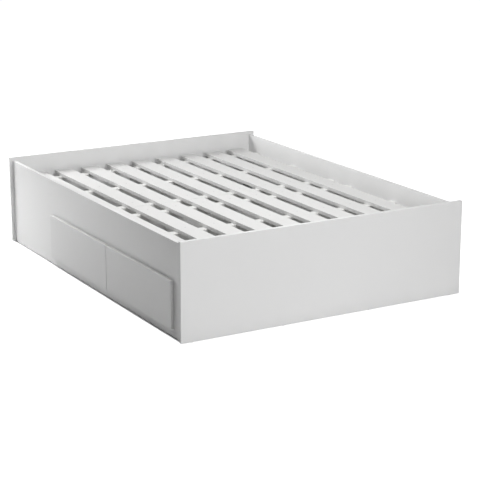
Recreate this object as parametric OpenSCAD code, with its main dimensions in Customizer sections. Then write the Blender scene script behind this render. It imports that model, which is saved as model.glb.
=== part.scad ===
// Queen-size platform bed: panel frame, two-part slatted deck, four drawers on roller runners.
// The origin is the middle of the bed on the floor. +Y points to the head end and +Z up.
// The left drawers open towards -X and the right drawers towards +X.

/* [Overall] */
// Width over the end panels and the drawer fronts
bed_w = 1590; // [1320:5:1910]
// Length over the end panels
bed_l = 2090; // [1740:5:2510]
// Height of the end panels' top edges above the floor
end_h = 487; // [405:1:585]

/* [Panels] */
// Thickness of the head and foot panels
end_t = 20; // [16:0.5:26]
// Thickness of the side panels
side_t = 19; // [16:0.5:25]
// How far the side panels' top edges lie below the end panels' top edges
side_drop = 19; // [0:1:40]
// Thickness of the partitions that carry the drawers
part_t = 16; // [12:0.5:22]

/* [Drawer fronts] */
// Width of one drawer front, along the bed
front_w = 701; // [560:1:845]
// Thickness of a drawer front
front_t = 16; // [12:0.5:22]
// Height of the fronts' lower edges above the floor
front_z = 43; // [30:1:60]
// Depth of the fronts' top edges below the end panels' top edges
front_drop = 208; // [180:1:250]
// Plain side panel between the foot end and the first front
foot_stile = 102; // [80:1:180]
// Gap between the two fronts on one side
front_split = 4; // [2:0.5:6]
// Gap between a closed front and the side panel
front_gap = 1.5; // [1:0.5:3]
// How far a front laps over the edge of its window
front_lap = 14; // [10:1:24]
// Width of the finger pull behind a front's lower edge
pull_w = 320; // [120:10:420]
// Depth of the finger pull
pull_d = 9; // [6:0.5:10]

/* [Drawer boxes] */
// Thickness of the box sides and backs
box_t = 15; // [12:0.5:18]
// Thickness of the drawer bottoms
bottom_t = 4; // [3:0.5:6]
// Height of the bottom above the box's lower edge
bottom_up = 10; // [6:1:16]
// Depth of the grooves that hold the bottom
groove_d = 6; // [4:0.5:7]
// Free space between the backs of the left and right drawers
bank_gap = 230; // [120:5:330]
// Room between the window's sill and the box
sill_clear = 9; // [6:1:14]
// Room between the box and the window's upper edge
top_clear = 17; // [8:1:30]

/* [Runners] */
// Room between a box and a partition, which holds one runner
runner_space = 12.5; // [12.5:0.1:15]
// Thickness of the runners' sheet steel
steel_t = 1.2; // [1:0.1:1.5]
// Radius of the runner rollers
roller_r = 11; // [9:0.1:13.5]
// Width of the runner rollers
roller_w = 8; // [6:0.5:8]
// Radius of the roller pins
pin_r = 3; // [2.5:0.1:4]
// How much shorter than the box the runners are
runner_short = 64; // [40:1:120]

/* [Slatted deck] */
// Slats across the width of the bed
slat_n = 9; // [7:1:11]
// Width of a slat
slat_w = 98; // [70:1:120]
// Thickness of a slat
slat_t = 19; // [15:0.5:25]
// Depth of the slats' tops below the end panels' top edges
deck_drop = 95; // [80:1:120]
// Gap between the slats and the end panels
slat_end_gap = 24; // [5:1:40]
// Gap between the two halves of the deck
deck_joint = 2; // [1:0.5:5]
// Width of a batten and of the beams below the deck
batten_w = 45; // [35:1:60]
// Height of a batten
batten_h = 18; // [14:1:24]
// Distance of the outer battens from the ends of the slats
batten_inset = 88; // [60:1:130]

/* [Deck supports] */
// Height of a cross beam
beam_h = 35; // [25:1:45]
// Height of the centre beam
centre_h = 44; // [35:1:55]
// Width of a ledger along a side panel
ledger_t = 25; // [20:1:40]
// Height of a ledger, which the cross beams are notched into
ledger_h = 55; // [45:1:65]
// Radius of the levelling foot
foot_r = 22; // [16:1:30]
// Thickness of the glides below the panels
glide_h = 3; // [2:0.5:5]

/* [Hidden] */

$fn = 48;
eps = 1;                 // how far a cut runs past a face
join = 0.01;             // how far the shanks of screws and studs run into their heads

// Fits
loose = 0.1;             // radial room round a screw, dowel or cam in its hole
snug = 0.5;              // room at the end of a board or a blind hole
beam_room = 1;           // room at each end of a long board
running = 0.05;          // radial room of a roller on its pin
roll_gap = 0.3;          // room between a roller and its track

// Planes of the frame
half_w = bed_w / 2;
half_l = bed_l / 2;
side_out = half_w - front_t - front_gap;
side_in = side_out - side_t;
end_in = half_l - end_t;
side_top = end_h - side_drop;
slat_z = end_h - deck_drop - slat_t;
batten_z = slat_z - batten_h;
beam_z = batten_z - beam_h;
centre_z = beam_z - centre_h;
ledger_z = batten_z - ledger_h;

// Windows and drawers: bay 0 is at the foot and bay 1 towards the head
front_top = end_h - front_drop;
inner_lap = (part_t - front_split) / 2;
bay_w = front_w - front_lap - inner_lap;
function front_y(bay) = foot_stile - half_l + bay * (front_w + front_split);
function bay_y(bay) = front_y(bay) + (bay == 0 ? front_lap : inner_lap);
sill_z = front_z + front_lap;
window_top = front_top - front_lap;
box_z = sill_z + sill_clear;
box_top = window_top - top_clear;
box_x0 = bank_gap / 2;
box_x1 = half_w - front_t;
bottom_z = box_z + bottom_up;

// Runners, measured out from a partition's face
track_below = 4;         // the track's lower edge below the box
track_z = box_z - track_below;
track_flange = 10.8;
track_lip = 6;
lip_gap = 1;
roller_s = 2.2;          // the rollers' near face
roller_z = track_z + steel_t + roll_gap + roller_r;
flange_z = roller_z + roller_r + roll_gap;
track_h = flange_z + 2 * steel_t + lip_gap - track_z;
flange_s = 3;
track_set = 2;           // the track's front end behind the side panel
pin_in = 14;             // the roller pins in from the runners' ends
rivet_r = 4.5;
rivet_t = 0.7;
side_play = 0.1;         // room beside a roller
runner_l = box_x1 - box_x0 - runner_short;
runner_x1 = box_x1 - track_set;
runner_x0 = runner_x1 - runner_l;
track_x1 = side_in - track_set;
track_x0 = track_x1 - runner_l;

// Deck
slat_l = (2 * end_in - 2 * slat_end_gap - deck_joint) / 2;
slat_gap = (2 * side_in - slat_n * slat_w) / (slat_n + 1);
function slat_x(i) = -side_in + slat_gap + slat_w / 2 + i * (slat_w + slat_gap);
batten_ys = [for (y = [batten_inset, slat_l / 2, slat_l - batten_inset]) deck_joint / 2 + y];
beam_ys = [batten_ys[0], batten_ys[1]];

// Fasteners and metalwork
shank_r = 2;
head_r = 4;
head_t = 2.2;
screw_l = 35;
ledger_screw_n = 6;
ledger_screw_in = 100;
ledger_screw_up = 10;
back_screw_edge = 30;
dowel_r = 4;
dowel_l = 30;
dowel_in = 12;
dowel_drop = 30;
cam_r = 7.5;
cam_t = 12;
cam_back = 34;
cam_low = 40;
cam_high = 30;
cam_bolt_r = 3;
cam_bolt_in = 10;
bracket_leg = 40;
bracket_t = 3;
bracket_h = 150;
bracket_drop = 30;
bracket_hole = 25;
bracket_edge = 30;
pan_r = 4.5;
pan_t = 3;
pan_shank_r = 2.5;
pan_l = 14;
hanger_t = 2;
hanger_l = 35;
hanger_up = 30;
hanger_ear = 25;
hanger_play = 0.3;
leg_w = 45;
leg_lift = 25;           // the leg's lower end above the floor
stud_r = 4;
stud_l = 60;
foot_t = 6;
glide_r = 7;
glide_in = 60;
end_glide_n = 4;          // glides below each end panel
side_glide_in = 120;
foot_short = 1;           // the runner's foot stops short of the box side's inner face

// A board between two corners
module board(x, y, z) {
    translate([x[0], y[0], z[0]]) cube([x[1] - x[0], y[1] - y[0], z[1] - z[0]]);
}

// Left drawers are the right drawers mirrored
module on_side(side) {
    mirror([side < 0 ? 1 : 0, 0, 0]) children();
}

// The same piece against both partitions of a bay, s measured out from each face along Y
module both_faces(bay) {
    translate([0, bay_y(bay), 0]) children();
    translate([0, bay_y(bay) + bay_w, 0]) mirror([0, 1, 0]) children();
}

// Countersunk screw along -Z with its head's top at the origin; room is 0 for the screw itself
module screw(room = 0) {
    tip = room > 0 ? snug : 0;
    translate([0, 0, -head_t]) cylinder(h = head_t, r1 = shank_r + room, r2 = head_r + room);
    translate([0, 0, -screw_l - tip])
        cylinder(h = screw_l + tip - head_t + join, r = shank_r + room);
    if (room > 0) cylinder(h = eps, r = head_r + room);
}

// ---- Panels ----

partition_ys = [bay_y(0) - part_t, bay_y(0) + bay_w, bay_y(1) + bay_w];
dowel_zs = [(glide_h + sill_z) / 2, centre_z - dowel_drop];

// Dowels, or their holes, in one side's joints with the partitions
module side_dowels(room = 0) {
    for (y = partition_ys, z = dowel_zs)
        translate([side_in + dowel_in + (room > 0 ? snug : 0), y + part_t / 2, z])
            rotate([0, -90, 0])
                cylinder(h = dowel_l + (room > 0 ? 2 * snug : 0), r = dowel_r + room);
}

// Ledger screws, or their holes, on one side
module side_ledger_screws(room = 0) {
    pitch = 2 * (end_in - ledger_screw_in) / (ledger_screw_n - 1);
    for (i = [0 : ledger_screw_n - 1])
        translate([side_in - ledger_t, ledger_screw_in - end_in + i * pitch,
                   ledger_z + ledger_screw_up])
            rotate([0, -90, 0]) screw(room);
}

// Pan-head screw along -Z with its head's underside at the origin
module pan_screw(room = 0) {
    translate([0, 0, -pan_l - (room > 0 ? snug : 0)])
        cylinder(h = pan_l + (room > 0 ? snug + eps : join), r = pan_shank_r + room);
    if (room == 0) cylinder(h = pan_t, r = pan_r);
}

bracket_z = ledger_z - bracket_drop - bracket_h;
bracket_zs = [bracket_z + bracket_edge, bracket_z + bracket_h - bracket_edge];

// Screws of one corner bracket, or their holes
module corner_screws(room = 0) {
    for (z = bracket_zs) {
        translate([side_in - bracket_t, end_in - bracket_hole, z])
            rotate([0, -90, 0]) pan_screw(room);
        translate([side_in - bracket_hole, end_in - bracket_t, z])
            rotate([90, 0, 0]) pan_screw(room);
    }
}

hanger_side = batten_w / 2 + hanger_play;

// Screws of the centre beam's hanger at the head end, or their holes
module hanger_screws(room = 0) {
    for (side = [-1, 1])
        translate([side * (hanger_side + hanger_t + hanger_ear / 2), end_in - hanger_t,
                   centre_z + hanger_up / 2])
            rotate([90, 0, 0]) pan_screw(room);
}

// Head panel; the foot panel is the same board turned round
module head_panel() {
    color("whitesmoke") difference() {
        board([-half_w, half_w], [end_in, half_l], [glide_h, end_h]);
        for (side = [1, -1]) on_side(side) corner_screws(loose);
        hanger_screws(loose);
    }
}

module foot_panel() {
    mirror([0, 1, 0]) head_panel();
}

// Side panel with a window for each drawer
module side_panel() {
    color("white") difference() {
        board([side_in, side_out], [-end_in, end_in], [glide_h, side_top]);
        for (bay = [0, 1])
            board([side_in - eps, side_out + eps], [bay_y(bay), bay_y(bay) + bay_w],
                  [sill_z, window_top]);
        side_dowels(loose);
        side_ledger_screws(loose);
        for (turn = [0, 1]) mirror([0, turn, 0]) corner_screws(loose);
    }
}

// Partition across the whole bed, whose two faces carry the tracks
module partition(y) {
    color("gainsboro") difference() {
        board([-side_in, side_in], [y, y + part_t], [glide_h, centre_z]);
        for (side = [-1, 1]) on_side(side) side_dowels(loose);
    }
}

// ---- Deck supports ----

// Ledger along a side panel, notched for the cross beams
module ledger() {
    color("burlywood") difference() {
        board([side_in - ledger_t, side_in], [-end_in, end_in], [ledger_z, batten_z]);
        for (turn = [-1, 1], y = beam_ys)
            translate([0, turn * y, 0])
                board([side_in - ledger_t - eps, side_in + eps],
                      [-batten_w / 2 - snug, batten_w / 2 + snug], [beam_z, batten_z + eps]);
        side_ledger_screws(loose);
    }
}

module centre_beam() {
    color("burlywood")
        board([-batten_w / 2, batten_w / 2], [beam_room - end_in, end_in - beam_room],
              [centre_z, beam_z]);
}

module cross_beams() {
    color("burlywood") for (turn = [-1, 1], y = beam_ys)
        translate([0, turn * y, 0])
            board([beam_room - side_in, side_in - beam_room], [-batten_w / 2, batten_w / 2],
                  [beam_z, batten_z]);
}

// Blocks on the centre beam below the outermost battens
module beam_packers() {
    color("burlywood") for (turn = [-1, 1])
        translate([0, turn * batten_ys[2], 0])
            board([-batten_w / 2, batten_w / 2], [-batten_w / 2, batten_w / 2],
                  [beam_z, batten_z]);
}

leg_y = (partition_ys[2] + part_t + end_in) / 2;

// Leg below the centre beam, half-way between the last partition and the head panel
module centre_leg() {
    color("burlywood") difference() {
        translate([0, leg_y, 0])
            board([-leg_w / 2, leg_w / 2], [-leg_w / 2, leg_w / 2], [leg_lift, centre_z]);
        translate([0, leg_y, leg_lift - eps])
            cylinder(h = foot_t + stud_l - leg_lift + snug + eps, r = stud_r + loose);
    }
}

module levelling_foot() {
    color("dimgray") translate([0, leg_y, 0]) {
        cylinder(h = foot_t, r = foot_r);
        translate([0, 0, foot_t - join]) cylinder(h = stud_l, r = stud_r);
    }
}

// Stirrup that holds one end of the centre beam
module beam_hanger() {
    difference() {
        union() {
            board([-hanger_side - hanger_t, hanger_side + hanger_t],
                  [end_in - hanger_l, end_in], [centre_z - hanger_t, centre_z]);
            for (side = [0, 1]) mirror([side, 0, 0]) {
                board([hanger_side, hanger_side + hanger_t], [end_in - hanger_l, end_in],
                      [centre_z - hanger_t, centre_z + hanger_up]);
                board([hanger_side, hanger_side + hanger_t + hanger_ear],
                      [end_in - hanger_t, end_in], [centre_z - hanger_t, centre_z + hanger_up]);
            }
        }
        hanger_screws(loose);
    }
}

module beam_hangers() {
    color("silver") for (turn = [0, 1]) mirror([0, turn, 0]) beam_hanger();
}

// Steel angles in the four corners of the frame
module corner_brackets() {
    color("silver") for (side = [1, -1], turn = [0, 1])
        on_side(side) mirror([0, turn, 0]) difference() {
            union() {
                board([side_in - bracket_t, side_in], [end_in - bracket_leg, end_in],
                      [bracket_z, bracket_z + bracket_h]);
                board([side_in - bracket_leg, side_in], [end_in - bracket_t, end_in],
                      [bracket_z, bracket_z + bracket_h]);
            }
            corner_screws(loose);
        }
}

module bracket_screws() {
    color("gray") for (turn = [0, 1]) mirror([0, turn, 0]) {
        for (side = [1, -1]) on_side(side) corner_screws();
        hanger_screws();
    }
}

module dowels() {
    color("tan") for (side = [1, -1]) on_side(side) side_dowels();
}

// Glides below the end panels, the side panels and the partitions
module floor_glides() {
    color("dimgray") {
        for (turn = [-1, 1], i = [0 : end_glide_n - 1])
            translate([(half_w - glide_in) * (2 * i / (end_glide_n - 1) - 1),
                       turn * (half_l - end_t / 2), 0])
                cylinder(h = glide_h, r = glide_r);
        for (side = [-1, 1], y = [-1, 0, 1])
            translate([side * (side_in + side_t / 2), y * (end_in - side_glide_in), 0])
                cylinder(h = glide_h, r = glide_r);
        for (side = [-1, 1], x = [box_x0, side_in - glide_in], y = partition_ys)
            translate([side * x, y + part_t / 2, 0]) cylinder(h = glide_h, r = glide_r);
    }
}

// ---- Slatted deck ----

// Screws of one half of the deck, or their holes
module deck_screws(room = 0) {
    for (i = [0 : slat_n - 1], y = batten_ys)
        translate([slat_x(i), y, slat_z + slat_t]) screw(room);
}

module head_slats() {
    color("white") for (i = [0 : slat_n - 1]) difference() {
        board([slat_x(i) - slat_w / 2, slat_x(i) + slat_w / 2],
              [deck_joint / 2, deck_joint / 2 + slat_l], [slat_z, slat_z + slat_t]);
        for (y = batten_ys)
            translate([slat_x(i), y, slat_z + slat_t]) screw(loose);
    }
}

module foot_slats() {
    mirror([0, 1, 0]) head_slats();
}

module head_battens() {
    color("white") for (y = batten_ys) difference() {
        board([beam_room - side_in, side_in - beam_room], [y - batten_w / 2, y + batten_w / 2],
              [batten_z, slat_z]);
        for (i = [0 : slat_n - 1])
            translate([slat_x(i), y, slat_z + slat_t]) screw(loose);
    }
}

module foot_battens() {
    mirror([0, 1, 0]) head_battens();
}

// Countersunk screws of the slats and the ledgers
module wood_screws() {
    color("silver") {
        for (turn = [0, 1]) mirror([0, turn, 0]) deck_screws();
        for (side = [1, -1]) on_side(side) side_ledger_screws();
    }
}

// ---- Runners on the partitions ----

// Rivet pin along Y from s0 to s1, with its head at s1
module roller_pin(s0, s1) {
    rotate([-90, 0, 0]) {
        translate([0, 0, min(s0, s1)]) cylinder(h = abs(s1 - s0), r = pin_r);
        translate([0, 0, s1 > s0 ? s1 : s1 - rivet_t]) cylinder(h = rivet_t, r = rivet_r);
    }
}

// Steel channel on a partition, with a pin for the front roller
module track() {
    board([track_x0, track_x1], [0, steel_t], [track_z, track_z + track_h]);
    board([track_x0, track_x1], [0, track_flange], [track_z, track_z + steel_t]);
    board([track_x0, track_x1], [0, track_lip],
          [track_z + track_h - steel_t, track_z + track_h]);
    translate([track_x1 - pin_in, 0, roller_z])
        roller_pin(steel_t / 2, roller_s + roller_w + side_play);
}

// Steel angle below a box side, with a pin for the rear roller
module runner() {
    web = runner_space - steel_t;
    board([runner_x0, runner_x1], [web, runner_space], [box_z - steel_t, flange_z + steel_t]);
    board([runner_x0, runner_x1], [web, runner_space + box_t - foot_short], [box_z - steel_t, box_z]);
    board([runner_x0, runner_x1], [flange_s, runner_space], [flange_z, flange_z + steel_t]);
    translate([runner_x0 + pin_in, 0, roller_z])
        roller_pin(web + steel_t / 2, roller_s - side_play);
}

// Nylon roller with rounded-off rims and a true bore
module roller(x) {
    rim = 0.8;
    translate([x, roller_s, roller_z]) rotate([-90, 0, 0]) rotate_extrude()
        polygon([[pin_r + running, 0], [roller_r - rim, 0], [roller_r, rim],
                 [roller_r, roller_w - rim], [roller_r - rim, roller_w],
                 [pin_r + running, roller_w]]);
}

module tracks(side, bay) {
    color("ivory") on_side(side) both_faces(bay) track();
}

module track_rollers(side, bay) {
    color("white") on_side(side) both_faces(bay) roller(track_x1 - pin_in);
}

module runners(side, bay) {
    color("ivory") on_side(side) both_faces(bay) runner();
}

module runner_rollers(side, bay) {
    color("white") on_side(side) both_faces(bay) roller(runner_x0 + pin_in);
}

// ---- Drawers ----

cam_zs = [box_z + cam_low, box_top - cam_high];
back_screw_zs = [bottom_z + bottom_t + back_screw_edge, box_top - back_screw_edge];

// Cam locks of one box side, or their holes, s measured from the partition's face
module side_cams(room = 0) {
    for (z = cam_zs) translate([box_x1 - cam_back, 0, z]) {
        translate([0, runner_space + box_t - cam_t - room, 0]) rotate([-90, 0, 0])
            cylinder(h = cam_t + (room > 0 ? room + eps : 0), r = cam_r + room);
        translate([0, runner_space + box_t / 2, 0]) rotate([0, 90, 0])
            cylinder(h = cam_back + cam_bolt_in + (room > 0 ? snug : 0), r = cam_bolt_r + room);
    }
}

// Screws through one box side into the back, or their holes
module side_back_screws(room = 0) {
    for (z = back_screw_zs)
        translate([box_x0 + box_t / 2, runner_space, z])
            rotate([90, 0, 0]) screw(room);
}

module drawer_front(side, bay) {
    pull_y = front_y(bay) + (front_w - pull_w) / 2;
    color("white") on_side(side) difference() {
        board([box_x1, half_w], [front_y(bay), front_y(bay) + front_w], [front_z, front_top]);
        board([box_x1 - eps, box_x1 + groove_d],
              [bay_y(bay) + runner_space + box_t - groove_d,
               bay_y(bay) + bay_w - runner_space - box_t + groove_d],
              [bottom_z, bottom_z + bottom_t + loose]);
        board([box_x1 - eps, box_x1 + pull_d], [pull_y, pull_y + pull_w],
              [front_z - eps, front_z + front_lap]);
        both_faces(bay) side_cams(loose);
    }
}

module drawer_side() {
    difference() {
        board([box_x0, box_x1], [runner_space, runner_space + box_t], [box_z, box_top]);
        board([box_x0 - eps, box_x1 + eps],
              [runner_space + box_t - groove_d, runner_space + box_t + eps],
              [bottom_z, bottom_z + bottom_t + loose]);
        side_cams(loose);
        side_back_screws(loose);
    }
}

module drawer_sides(side, bay) {
    color("whitesmoke") on_side(side) both_faces(bay) drawer_side();
}

module drawer_back(side, bay) {
    color("whitesmoke") on_side(side) difference() {
        board([box_x0, box_x0 + box_t],
              [bay_y(bay) + runner_space + box_t, bay_y(bay) + bay_w - runner_space - box_t],
              [bottom_z + bottom_t, box_top]);
        both_faces(bay) side_back_screws(loose);
    }
}

// Bottom in its grooves, running out below the back
module drawer_bottom(side, bay) {
    edge = runner_space + box_t - groove_d + snug;
    color("gainsboro") on_side(side)
        board([box_x0, box_x1 + groove_d - snug],
              [bay_y(bay) + edge, bay_y(bay) + bay_w - edge], [bottom_z, bottom_z + bottom_t]);
}

module drawer_fixings(side, bay) {
    color("silver") on_side(side) both_faces(bay) {
        side_cams();
        side_back_screws();
    }
}

head_panel();
foot_panel();
on_side(-1) side_panel();  // left_side_panel
on_side(1) side_panel();  // right_side_panel
partition(partition_ys[0]);  // foot_partition
partition(partition_ys[1]);  // middle_partition
partition(partition_ys[2]);  // head_partition
on_side(-1) ledger();  // left_ledger
on_side(1) ledger();  // right_ledger
centre_beam();
cross_beams();
beam_packers();
head_slats();
foot_slats();
head_battens();
foot_battens();
centre_leg();
levelling_foot();
beam_hangers();
corner_brackets();
bracket_screws();
wood_screws();
dowels();
floor_glides();
tracks(-1, 0);  // foot_left_tracks
track_rollers(-1, 0);  // foot_left_track_rollers
tracks(-1, 1);  // head_left_tracks
track_rollers(-1, 1);  // head_left_track_rollers
tracks(1, 0);  // foot_right_tracks
track_rollers(1, 0);  // foot_right_track_rollers
tracks(1, 1);  // head_right_tracks
track_rollers(1, 1);  // head_right_track_rollers
drawer_front(-1, 0);  // foot_left_front
drawer_sides(-1, 0);  // foot_left_sides
drawer_back(-1, 0);  // foot_left_back
drawer_bottom(-1, 0);  // foot_left_bottom
runners(-1, 0);  // foot_left_runners
runner_rollers(-1, 0);  // foot_left_runner_rollers
drawer_fixings(-1, 0);  // foot_left_fixings
drawer_front(-1, 1);  // head_left_front
drawer_sides(-1, 1);  // head_left_sides
drawer_back(-1, 1);  // head_left_back
drawer_bottom(-1, 1);  // head_left_bottom
runners(-1, 1);  // head_left_runners
runner_rollers(-1, 1);  // head_left_runner_rollers
drawer_fixings(-1, 1);  // head_left_fixings
drawer_front(1, 0);  // foot_right_front
drawer_sides(1, 0);  // foot_right_sides
drawer_back(1, 0);  // foot_right_back
drawer_bottom(1, 0);  // foot_right_bottom
runners(1, 0);  // foot_right_runners
runner_rollers(1, 0);  // foot_right_runner_rollers
drawer_fixings(1, 0);  // foot_right_fixings
drawer_front(1, 1);  // head_right_front
drawer_sides(1, 1);  // head_right_sides
drawer_back(1, 1);  // head_right_back
drawer_bottom(1, 1);  // head_right_bottom
runners(1, 1);  // head_right_runners
runner_rollers(1, 1);  // head_right_runner_rollers
drawer_fixings(1, 1);  // head_right_fixings
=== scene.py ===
"""White platform bed with a slatted deck and four drawers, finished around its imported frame."""
import math

import bmesh
import bpy
from mathutils import Matrix, Vector


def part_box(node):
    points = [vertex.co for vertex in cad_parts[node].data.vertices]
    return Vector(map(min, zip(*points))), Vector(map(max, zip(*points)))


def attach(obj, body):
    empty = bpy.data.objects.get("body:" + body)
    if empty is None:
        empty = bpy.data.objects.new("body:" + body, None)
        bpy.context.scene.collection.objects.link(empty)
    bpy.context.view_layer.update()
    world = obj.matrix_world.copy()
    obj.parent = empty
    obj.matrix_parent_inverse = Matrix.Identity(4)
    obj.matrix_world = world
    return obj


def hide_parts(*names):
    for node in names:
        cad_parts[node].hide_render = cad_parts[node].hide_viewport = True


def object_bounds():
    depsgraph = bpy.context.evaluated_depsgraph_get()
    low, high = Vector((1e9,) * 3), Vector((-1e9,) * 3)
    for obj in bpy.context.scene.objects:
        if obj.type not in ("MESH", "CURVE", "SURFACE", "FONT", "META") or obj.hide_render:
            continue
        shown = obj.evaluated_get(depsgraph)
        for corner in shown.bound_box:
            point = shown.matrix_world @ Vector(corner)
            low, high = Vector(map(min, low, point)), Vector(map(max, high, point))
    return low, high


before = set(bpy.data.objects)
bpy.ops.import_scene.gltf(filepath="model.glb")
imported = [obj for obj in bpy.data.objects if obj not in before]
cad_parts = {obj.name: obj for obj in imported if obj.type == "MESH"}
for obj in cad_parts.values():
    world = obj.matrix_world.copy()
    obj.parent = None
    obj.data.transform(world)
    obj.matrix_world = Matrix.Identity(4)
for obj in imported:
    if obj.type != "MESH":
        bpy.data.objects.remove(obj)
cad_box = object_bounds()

MM = 0.001
SIDES = {"left": -1, "right": 1}
BAYS = ("foot", "head")
ENDS = (("head", 1), ("foot", -1))
DRAWERS = [(bay, hand) for hand in SIDES for bay in BAYS]


# ---- Camera, lights and floor ----

LENS, SENSOR_W = 114.78, 36
CAMERA_STAND = (-3.853, -6.937, 2.305)
CAMERA_TILT, CAMERA_TURN = 74.76, -29.75


def place_camera():
    data = bpy.data.cameras.new("camera")
    data.lens, data.sensor_width = LENS, SENSOR_W
    data.clip_end = 60
    camera = bpy.data.objects.new("camera", data)
    bpy.context.scene.collection.objects.link(camera)
    camera.location = CAMERA_STAND
    camera.rotation_euler = (math.radians(CAMERA_TILT), 0, math.radians(CAMERA_TURN))
    bpy.context.scene.camera = camera


# Softboxes: where each stands, what it points at, how wide and high it is, and its power
SOFTBOXES = {
    "front": ((0, -4.6, 1.9), (0, 0, 0.3), 2.2, 2.0, 85),
    "right": ((4.6, 0, 1.9), (0, 0, 0.3), 2.2, 2.0, 40),
    "right_back": ((2.3, 3.98, 1.9), (0, 0, 0.3), 2.2, 2.0, 24),
    "left_above": ((-1.0, -0.3, 3.0), (-1.0, -0.3, 0), 0.25, 2.4, 9),
    "overhead_foot": ((0, -0.9, 2.6), (0, -0.4, 0.4), 1.2, 1.2, 31),
    "left_head": ((-2.6, 3.0, 1.2), (-0.8, 0.9, 0.3), 1.5, 1.2, 19),
    "left_head_high": ((-1.3, 2.2, 1.6), (-0.2, 0.6, 0.3), 0.8, 0.8, 44),
}
SKY = 0.03
PAINTED_SHADOW_GLOW = 0.8       # the floor's glow for the camera at the bed's edge, kept below 1 as a painted contact shadow; it is 1 from GLOW_REACH out, and under the bed there is no glow, as painted shade
GLOW_REACH = 0.45
FLOOR_SIZE, FLOOR_DROP = 40, 0.5 * MM


def hang_softboxes():
    for name, (stand, target, wide, high, power) in SOFTBOXES.items():
        data = bpy.data.lights.new(name, "AREA")
        data.shape, data.size, data.size_y, data.energy = "RECTANGLE", wide, high, power
        lamp = bpy.data.objects.new(name, data)
        bpy.context.scene.collection.objects.link(lamp)
        lamp.location = stand
        aim = Vector(target) - Vector(stand)
        lamp.rotation_euler = aim.to_track_quat("-Z", "Y").to_euler()
        lamp.visible_camera = False


def light_sky():
    """White to the eye and dim as a source of light, so that the bed keeps its shading"""
    world = bpy.data.worlds.new("sky")
    bpy.context.scene.world = world
    world.use_nodes = True
    tree = world.node_tree
    path = tree.nodes.new("ShaderNodeLightPath")
    strength = tree.nodes.new("ShaderNodeMapRange")
    strength.inputs["To Min"].default_value = SKY
    strength.inputs["To Max"].default_value = 1
    background = tree.nodes["Background"]
    background.inputs["Color"].default_value = (1, 1, 1, 1)
    tree.links.new(path.outputs["Is Camera Ray"], strength.inputs["Value"])
    tree.links.new(strength.outputs[0], background.inputs["Strength"])
    bpy.context.scene.view_settings.view_transform = "Standard"


def lay_floor():
    """A pale floor, brightened for the camera to the backdrop's white a little way out, with a
    painted contact shadow beside the bed and painted shade under it
    """
    bpy.ops.mesh.primitive_plane_add(size=FLOOR_SIZE, location=(0, 0, -FLOOR_DROP))
    floor = bpy.context.object
    floor.name = "studio_floor"
    f = Finish("studio_floor", Emission_Strength=1)
    reach = [f.along(axis).size() - half for axis, half in enumerate(cad_box[1].xy)]
    out = [far.larger(0) for far in reach]
    apart = (out[0] * out[0] + out[1] * out[1]).sum("SQRT")
    # Painted shade: 0 within the bed's footprint, where the floor gets no glow for the camera
    below = reach[0].larger(reach[1]).sum("GREATER_THAN", -10 * MM)
    # Painted contact shadow: the glow is lower beside the bed and rises to 1 at GLOW_REACH out
    glow = below * (PAINTED_SHADOW_GLOW + (1 - PAINTED_SHADOW_GLOW) * apart.between(0, GLOW_REACH))
    seen = f.node("ShaderNodeLightPath", out="Is Camera Ray")
    mottle = f.noise(3, detail=4).between(0.3, 0.7)
    f.feed(f.shader.inputs["Emission Color"], f.mixed(seen * glow, (0, 0, 0), (1, 1, 1)))
    floor.data.materials.append(
        f.done(f.mixed(mottle, (0.85, 0.85, 0.85), (0.87, 0.87, 0.87)), 0.85 + 0.1 * mottle,
               f.bumps(mottle, 0.2 * MM, 0.3)))


# ---- Finishes ----

class Tone:
    """A value that varies over a surface. Sums on it add the nodes that work them out."""

    def __init__(self, finish, socket):
        self.finish, self.socket = finish, socket

    def sum(self, operation, *others):
        return self.finish.node("ShaderNodeMath", {"operation": operation},
                                dict(enumerate((self,) + others)))

    def __add__(self, other):
        return self.sum("ADD", other)

    def __mul__(self, other):
        return self.sum("MULTIPLY", other)

    def __sub__(self, other):
        return self.sum("SUBTRACT", other)

    def __rsub__(self, other):
        return self.sum("MULTIPLY_ADD", -1, other)

    __radd__, __rmul__ = __add__, __mul__

    def size(self):
        return self.sum("ABSOLUTE")

    def larger(self, other):
        return self.sum("MAXIMUM", other)

    def between(self, low, high):
        """0 at low and 1 at high, with a soft start and end"""
        return self.finish.node("ShaderNodeMapRange", {"interpolation_type": "SMOOTHSTEP"},
                                {"Value": self, "From Min": low, "From Max": high})


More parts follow.
